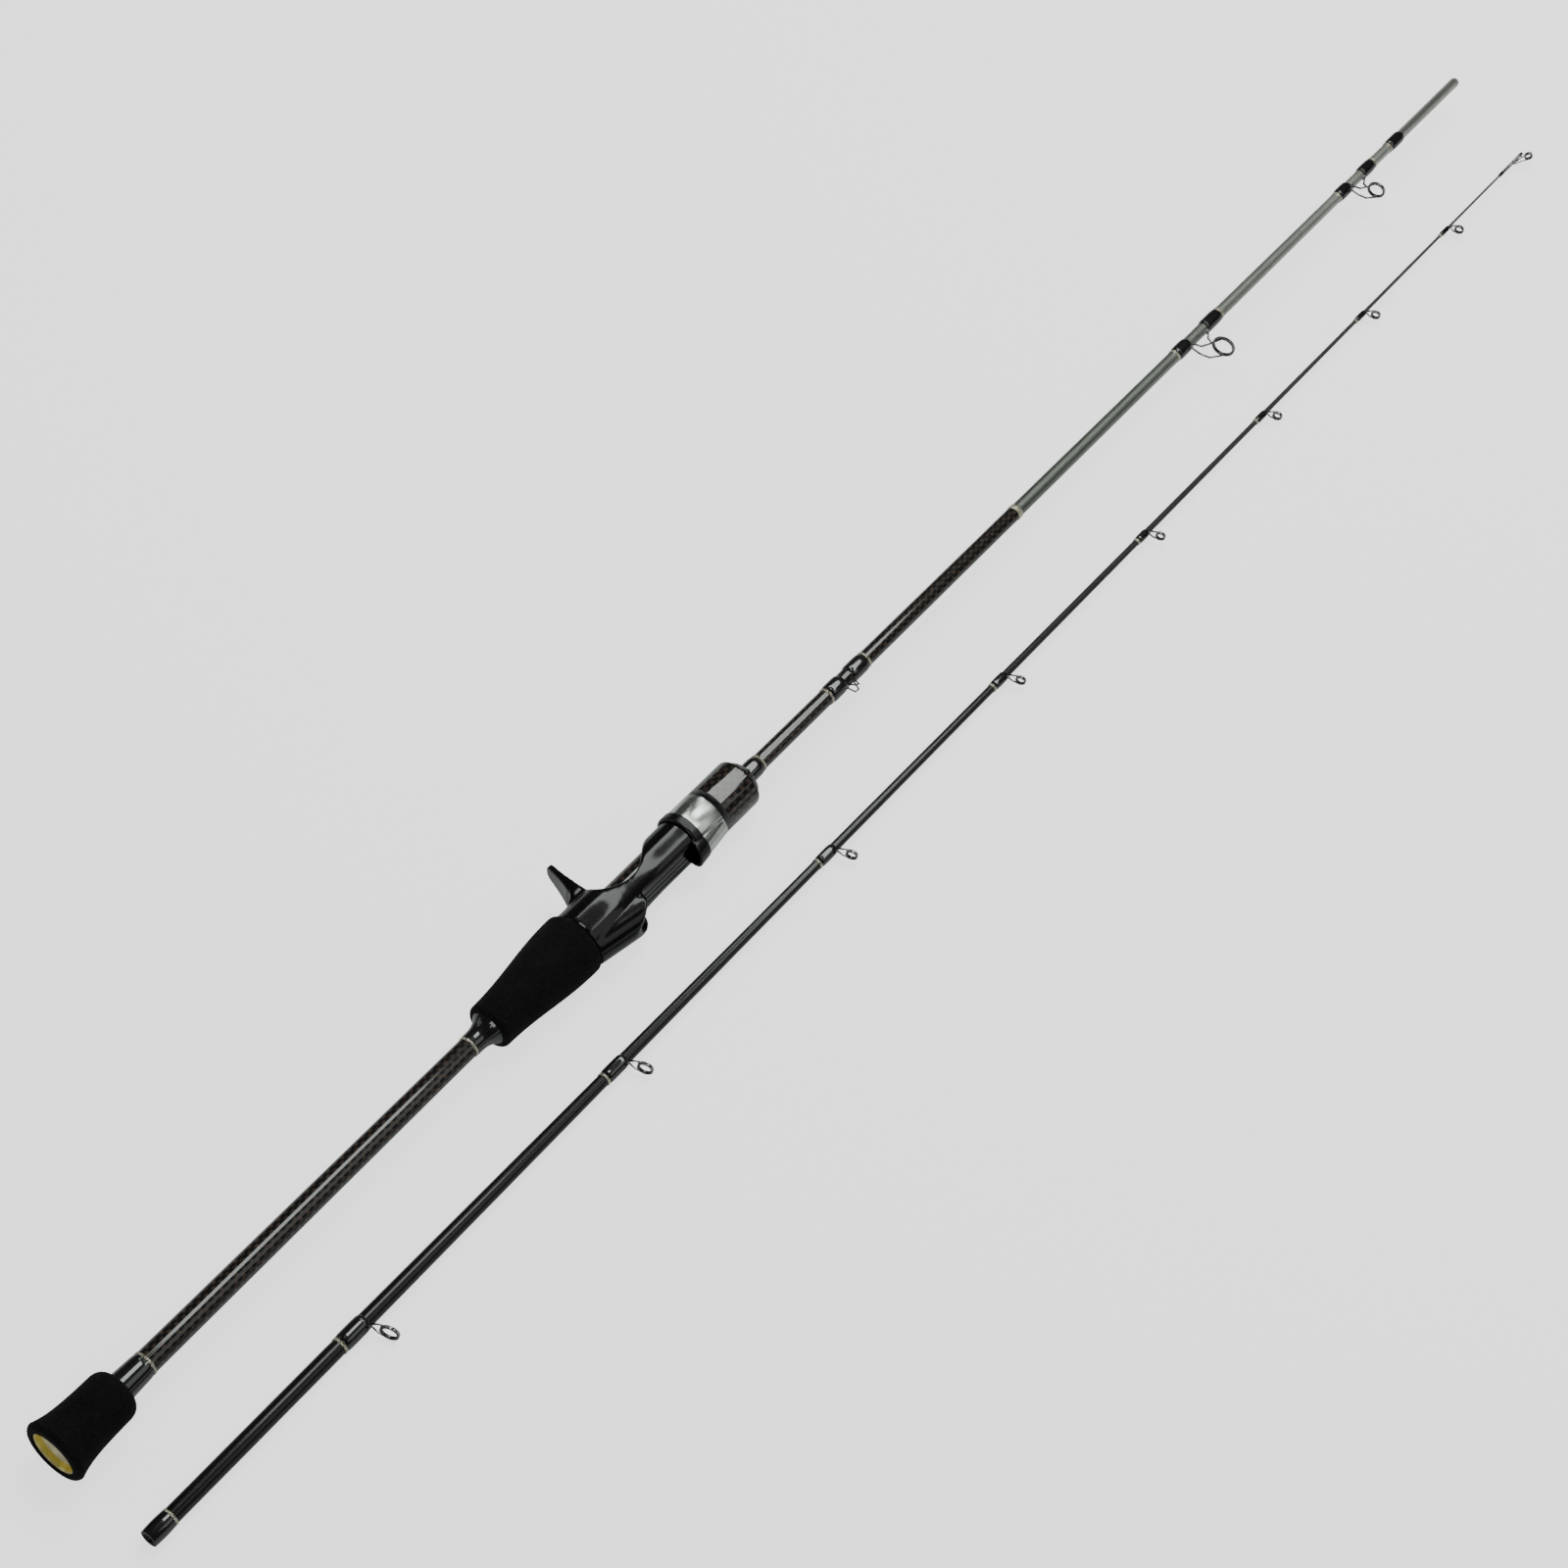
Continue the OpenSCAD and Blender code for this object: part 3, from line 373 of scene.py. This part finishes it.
# Woven cloth: a plain weave of square tows, warp and weft in turn, each with its fibres.
weave, given, out = new_group(
    "woven_tows", (("Along", 0.0), ("Turn", 0.0), ("Tow", 0.002), ("Tows round", 16.0)),
    ("Checker", "Height", "Fibre"))
u = sums(weave, "MULTIPLY", given.outputs["Turn"], given.outputs["Tows round"])
v = sums(weave, "DIVIDE", given.outputs["Along"], given.outputs["Tow"])
cell = sums(weave, "ADD", sums(weave, "FLOOR", u), sums(weave, "FLOOR", v))
checker = sums(weave, "FLOORED_MODULO", cell, 2.0)
fu = sums(weave, "SUBTRACT", sums(weave, "FRACT", u), 0.5)
fv = sums(weave, "SUBTRACT", sums(weave, "FRACT", v), 0.5)
crown_u = sums(weave, "SUBTRACT", 1.0, sums(weave, "MULTIPLY", sums(weave, "MULTIPLY", fu, fu), 4.0))
crown_v = sums(weave, "SUBTRACT", 1.0, sums(weave, "MULTIPLY", sums(weave, "MULTIPLY", fv, fv), 4.0))
lines_u = sums(weave, "SINE", sums(weave, "MULTIPLY", u, math.tau * 9))
lines_v = sums(weave, "SINE", sums(weave, "MULTIPLY", v, math.tau * 9))
mix_lines = add(weave, "ShaderNodeMix", {0: checker, 2: lines_u, 3: lines_v})
feed(weave, out.inputs["Checker"], checker)
feed(weave, out.inputs["Height"], sums(weave, "MULTIPLY", crown_u, crown_v))
feed(weave, out.inputs["Fibre"], mix_lines.outputs[0])


def woven(name, axis, tow, tows_round, gloss):
    material, tree, shader, place = finish_of(name)
    rod = about(tree, place, axis)
    cloth = add(tree, "ShaderNodeGroup", node_tree=weave)
    feed(tree, cloth.inputs["Along"], rod["Along"])
    feed(tree, cloth.inputs["Turn"], rod["Turn"])
    feed(tree, cloth.inputs["Tow"], tow)
    feed(tree, cloth.inputs["Tows round"], tows_round)
    wear = handling(tree, place, 60.0)
    patchy = add(tree, "ShaderNodeTexNoise", {"Vector": place, "Scale": 240.0, "Detail": 2.0})
    warm = ramp(tree, patchy.outputs[0], (0.35, (0.046, 0.029, 0.02)), (0.65, (0.095, 0.063, 0.044)))
    cool = ramp(tree, patchy.outputs[0], (0.35, (0.003, 0.003, 0.003)), (0.65, (0.009, 0.009, 0.008)))
    tows = add(tree, "ShaderNodeMix", {0: cloth.outputs["Checker"], 6: warm, 7: cool}, data_type="RGBA")
    seam = sums(tree, "SUBTRACT", 1.0, sums(tree, "POWER", cloth.outputs["Height"], 0.35))
    dark = add(tree, "ShaderNodeMix", {0: seam, 6: tows.outputs[2], 7: (0.004, 0.004, 0.004, 1)},
               data_type="RGBA")
    feed(tree, shader.inputs["Base Color"], dark.outputs[2])
    gloss_range(tree, shader, wear["Smear"], gloss, gloss + 0.1)
    shader.inputs["Specular IOR Level"].default_value = 0.15
    shader.inputs["Coat Weight"].default_value = 1.0
    shader.inputs["Coat Roughness"].default_value = 0.06
    shader.inputs["Coat IOR"].default_value = 1.6
    relief(tree, shader, sums(tree, "ADD", cloth.outputs["Height"],
                              sums(tree, "MULTIPLY", cloth.outputs["Fibre"], 0.15)), 0.00005, 0.5)
    return material


handle_weave = woven("handle_weave", butt_axis, 0.0021, 14.0, 0.3)
nut_weave = woven("nut_weave", butt_axis, 0.0023, 32.0, 0.3)
core_weave = woven("core_weave", butt_axis, 0.0022, 22.0, 0.3)
finished("carbon_weave_sleeve", handle_weave)
finished("seat_core_tube", core_weave)
finished("lock_nut_weave", nut_weave)

lacquer, tree, shader, place = finish_of("gold_brown_lacquer")
wear = handling(tree, place, 300.0)
# The ring's base colour is gold-brown lacquer with painted glints: random patches run from dark gold-brown
# up to near-white.
feed(tree, shader.inputs["Base Color"],
     ramp(tree, wear["Smear"], (0.35, (0.3, 0.25, 0.14)), (0.5, (0.75, 0.7, 0.5)), (0.7, (1.0, 0.97, 0.86))))
shader.inputs["Metallic"].default_value = 0.6
gloss_range(tree, shader, wear["Smear"], 0.2, 0.4)
shader.inputs["Coat Weight"].default_value = 0.8
finished("weave_end_ring", lacquer)


# ---------------------------------------------------------------- Thread windings
# Black thread wound tight over the feet and ferrules, flooded with gloss epoxy, each
# edged with a few turns of pale-gold metallic thread.
# Wound thread: turns side by side along the rod.
wound, given, out = new_group("wound_thread", (("Along", 0.0), ("Pitch", 0.00025)), ("Ridge",))
turns = sums(wound, "DIVIDE", given.outputs["Along"], given.outputs["Pitch"])
feed(wound, out.inputs["Ridge"], sums(wound, "ABSOLUTE", sums(wound, "SINE", sums(
    wound, "MULTIPLY", turns, math.pi))))


def winding_finish(name, axis):
    material, tree, shader, place = finish_of(name)
    rod = about(tree, place, axis)
    thread = add(tree, "ShaderNodeGroup", node_tree=wound)
    feed(tree, thread.inputs["Along"], rod["Along"])
    wear = handling(tree, place, 90.0)
    feed(tree, shader.inputs["Base Color"],
         ramp(tree, thread.outputs["Ridge"], (0.1, grey(0.002)), (0.9, grey(0.008))))
    gloss_range(tree, shader, wear["Smear"], 0.3, 0.42)
    shader.inputs["Specular IOR Level"].default_value = 0.2
    shader.inputs["Coat Weight"].default_value = 1.0
    shader.inputs["Coat Roughness"].default_value = 0.06
    shader.inputs["Coat IOR"].default_value = 1.75
    relief(tree, shader, thread.outputs["Ridge"], 0.00001, 0.2)
    return material


def trim_finish(name, axis):
    material, tree, shader, place = finish_of(name)
    rod = about(tree, place, axis)
    thread = add(tree, "ShaderNodeGroup", node_tree=wound)
    feed(tree, thread.inputs["Along"], rod["Along"])
    feed(tree, thread.inputs["Pitch"], 0.00035)
    # The trim's base colour holds painted glints: near-white where the thread's crowns meet the glint noise,
    # darker gold elsewhere.
    glint = add(tree, "ShaderNodeTexNoise", {"Vector": place, "Scale": 1500.0, "Detail": 1.0})
    painted_glint_strand = sums(tree, "MULTIPLY", thread.outputs["Ridge"], glint.outputs[0])
    feed(tree, shader.inputs["Base Color"],
         ramp(tree, painted_glint_strand, (0.1, (0.3, 0.26, 0.16)), (0.35, (0.85, 0.8, 0.6)), (0.6, (1.0, 0.98, 0.88))))
    shader.inputs["Metallic"].default_value = 0.85
    gloss_range(tree, shader, glint.outputs[0], 0.2, 0.4)
    shader.inputs["Coat Weight"].default_value = 1.0
    relief(tree, shader, thread.outputs["Ridge"], 0.00008, 0.6)
    return material


butt_thread = winding_finish("butt_thread", butt_axis)
tip_thread = winding_finish("tip_thread", tip_axis)
butt_trim = trim_finish("butt_trim", butt_axis)
tip_trim = trim_finish("tip_trim", tip_axis)
for node in ("butt_winding", "rear_grip_check", "seat_front_check", "fore_winding", "keeper_windings",
             "guide_1_windings", "guide_2_windings", "stop_winding"):
    finished(node, butt_thread)
for node in ["ferrule_winding", "tip_top_winding"] + [f"guide_{i}_winding" for i in range(3, 11)]:
    finished(node, tip_thread)
finished("butt_trim_bands", butt_trim)
finished("tip_trim_bands", tip_trim)


# ---------------------------------------------------------------- Reel seat
# One nylon moulding over the core tube: barrel, hood, trigger and threaded end. Its
# skin is semi-gloss black, and every edge is softly rounded by the mould.
def moulded(node, material, grain, rounds, body_rounds=0, body_share=None):
    piece = finished(node, material, 180)
    deselect()
    piece.select_set(True)
    bpy.context.view_layer.objects.active = piece
    skin = piece.modifiers.new("skin", "REMESH")
    skin.mode = "VOXEL"
    skin.voxel_size = grain
    skin.use_smooth_shade = True
    bpy.ops.object.modifier_apply(modifier="skin")
    thick = piece.vertex_groups.new(name="thick")
    for corner in piece.data.vertices:
        thick.add([corner.index], body_share(corner.co) if body_share else 0.0, "REPLACE")
    for name, times, group in (("flow", body_rounds, "thick"), ("soften", rounds, "")):
        soften = piece.modifiers.new(name, "SMOOTH")
        soften.factor = 0.5
        soften.iterations = times
        soften.vertex_group = group
        bpy.ops.object.modifier_apply(modifier=name)
    return piece


# How far the skin may flow: freely on the barrel, little on the thin trigger and thread.
hood_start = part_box("hood_moulding")[0].x
trigger_root, hood_shell, thread_lead = 0.0145, 0.0095, 0.001
fade_across, fade_along = 0.003, 0.004


def seat_flow(corner):
    across = corner.y - butt_axis.y
    into_trigger = max(0.0, (across - trigger_root) / fade_across)
    into_shell = min(1.0, max(0.0, (-hood_shell - across) / fade_across))
    into_thread = max(0.0, (corner.x - hood_start + thread_lead) / fade_along)
    return max(0.04, 1.0 - into_trigger - into_thread - 0.75 * into_shell)


nylon, tree, shader, place = finish_of("moulded_nylon")
wear = handling(tree, place, 55.0)
feed(tree, shader.inputs["Base Color"], ramp(tree, wear["Smear"], (0.3, grey(0.0035)), (0.7, grey(0.008))))
gloss_range(tree, shader, wear["Smear"], 0.2, 0.26)
shader.inputs["Specular IOR Level"].default_value = 0.12
shader.inputs["Coat Weight"].default_value = 0.6
shader.inputs["Coat Roughness"].default_value = 0.09
seat = moulded("reel_seat", nylon, 0.00045, 7, 40, seat_flow)

# Three fine grooves run along the deck, under the reel foot.
seat_low, seat_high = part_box("reel_seat")
groove_start, groove_end = seat_low.x + 0.018, seat_high.x - 0.02
groove_gap, deck_depth = 0.0032, 0.0088
bars = []
for across in (-groove_gap, 0.0, groove_gap):
    deselect()
    bpy.ops.mesh.primitive_cube_add(
        size=1,
        location=((groove_start + groove_end) / 2, butt_axis.y - deck_depth, butt_axis.z + across),
        scale=(groove_end - groove_start, 0.001, 0.0008))
    bars.append(bpy.context.object)
deselect()
for bar in bars:
    bar.select_set(True)
bpy.context.view_layer.objects.active = bars[0]
bpy.ops.object.join()
bpy.ops.object.transform_apply(location=True, rotation=True, scale=True)
cutter = bpy.context.object
deselect()
seat.select_set(True)
bpy.context.view_layer.objects.active = seat
grooves = seat.modifiers.new("grooves", "BOOLEAN")
grooves.operation = "DIFFERENCE"
grooves.object = cutter
bpy.ops.object.modifier_apply(modifier="grooves")
bpy.data.objects.remove(cutter)
bpy.ops.object.shade_smooth_by_angle(angle=math.radians(35))
finished("seat_arbors", foam)


# ---------------------------------------------------------------- Moving hood and lock nut
# A satin black moulding under a polished band, pushed by a nut whose grip is a sleeve of
# woven carbon on a gloss body.
satin, tree, shader, place = finish_of("satin_moulding")
wear = handling(tree, place, 80.0)
feed(tree, shader.inputs["Base Color"], ramp(tree, wear["Smear"], (0.3, grey(0.003)), (0.7, grey(0.007))))
gloss_range(tree, shader, wear["Smear"], 0.22, 0.3)
relief(tree, shader, wear["Speck"], 0.00001, 0.2)
moulded("hood_moulding", satin, 0.0003, 12)

polished, tree, shader, place = finish_of("polished_band")
rod = about(tree, place, butt_axis)
fine = add(tree, "ShaderNodeTexNoise",
           {"Vector": add(tree, "ShaderNodeCombineXYZ", {
               "X": sums(tree, "MULTIPLY", rod["Along"], 9000.0),
               "Y": sums(tree, "MULTIPLY", rod["Turn"], 3.0)}).outputs[0], "Scale": 1.0, "Detail": 3.0})
wear = handling(tree, place, 150.0)
feed(tree, shader.inputs["Base Color"],
     ramp(tree, fine.outputs[0], (0.3, (0.7, 0.73, 0.7)), (0.7, (0.76, 0.79, 0.755))))
shader.inputs["Metallic"].default_value = 1.0
gloss_range(tree, shader, wear["Smear"], 0.215, 0.235)
relief(tree, shader, fine.outputs[0], 0.000004, 0.15)
finished("hood_band", polished, 30)
finished("lock_nut", nylon, 30)


# ---------------------------------------------------------------- Line guides and keeper
# Bent steel frames, dark plated, each holding a polished dark ceramic ring; the hook
# keeper is plain stainless wire.
def metal_finish(name, low, high, gloss):
    material, tree, shader, place = finish_of(name)
    wear = handling(tree, place, 400.0)
    feed(tree, shader.inputs["Base Color"], ramp(tree, wear["Smear"], (0.3, grey(low)), (0.7, grey(high))))
    shader.inputs["Metallic"].default_value = 1.0
    gloss_range(tree, shader, wear["Smear"], gloss, gloss + 0.12)
    relief(tree, shader, wear["Speck"], 0.00001, 0.3)
    return material


plated = metal_finish("dark_plated_steel", 0.34, 0.5, 0.2)
stainless = metal_finish("stainless_wire", 0.24, 0.36, 0.22)
ceramic, tree, shader, place = finish_of("polished_ceramic")
wear = handling(tree, place, 500.0)
feed(tree, shader.inputs["Base Color"], ramp(tree, wear["Smear"], (0.3, grey(0.012)), (0.7, grey(0.03))))
gloss_range(tree, shader, wear["Smear"], 0.05, 0.12)
shader.inputs["IOR"].default_value = 1.9
for i in range(1, 11):
    finished(f"guide_{i}_frame", plated, 50)
    finished(f"guide_{i}_ring", ceramic, 60)
finished("tip_top_frame", plated, 50)
finished("tip_top_ring", ceramic, 60)
finished("hook_keeper", stainless, 50)
